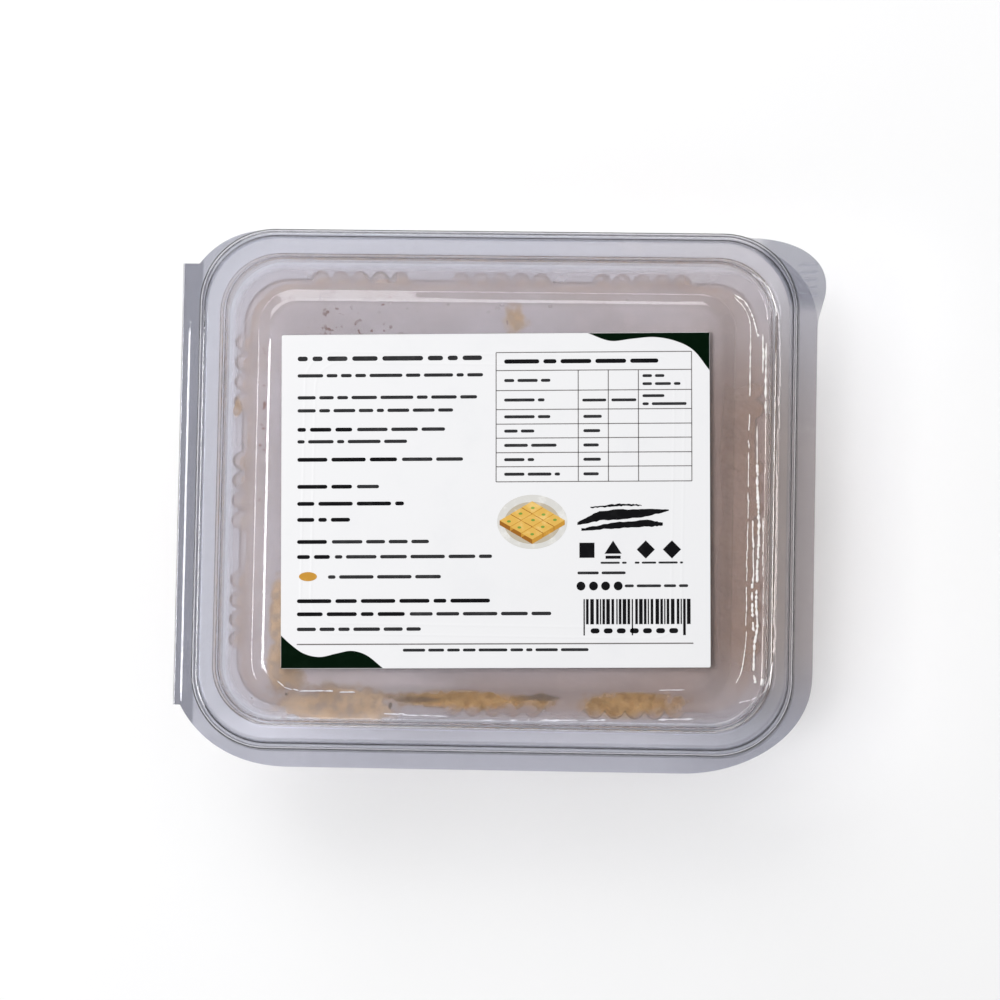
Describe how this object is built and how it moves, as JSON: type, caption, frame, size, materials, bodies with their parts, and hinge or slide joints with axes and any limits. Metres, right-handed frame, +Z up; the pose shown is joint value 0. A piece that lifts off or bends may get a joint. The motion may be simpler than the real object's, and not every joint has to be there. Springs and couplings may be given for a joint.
{
  "type": "hinged clear box of kalakand",
  "caption": "Clear hinged sweet box with rounded corners, fluted walls and a printed label on its lid, holding a soft grainy mass of kalakand.",
  "frame": {"origin": "centre of the bounding box's underside, on the surface that the box stands on", "axes": "+Z up, out of the lid; +X from the hinge fold towards the opening side; +Y towards the side with the lift tab"},
  "size_m": [0.1516, 0.1264, 0.0344],
  "materials": {
    "clear_sheet": "clear formed PET sheet, glossy, with a faint mist and grease film inside",
    "label_print": "smooth printed sticker, satin",
    "kalakand": "moist, grainy milk fudge, beige tan to golden brown"
  },
  "bodies": {
    "tray": {"base_tray": "clear_sheet", "kalakand": "kalakand"},
    "lid": {"lid": "clear_sheet", "label": "label_print"}
  },
  "joints": [
    {"name": "lid_hinge", "type": "hinge", "parent": "tray", "child": "lid", "pos_m": [-0.0753, 0.0029, 0.028], "axis": [0, -1, 0], "range_deg": [0, 180]}
  ]
}
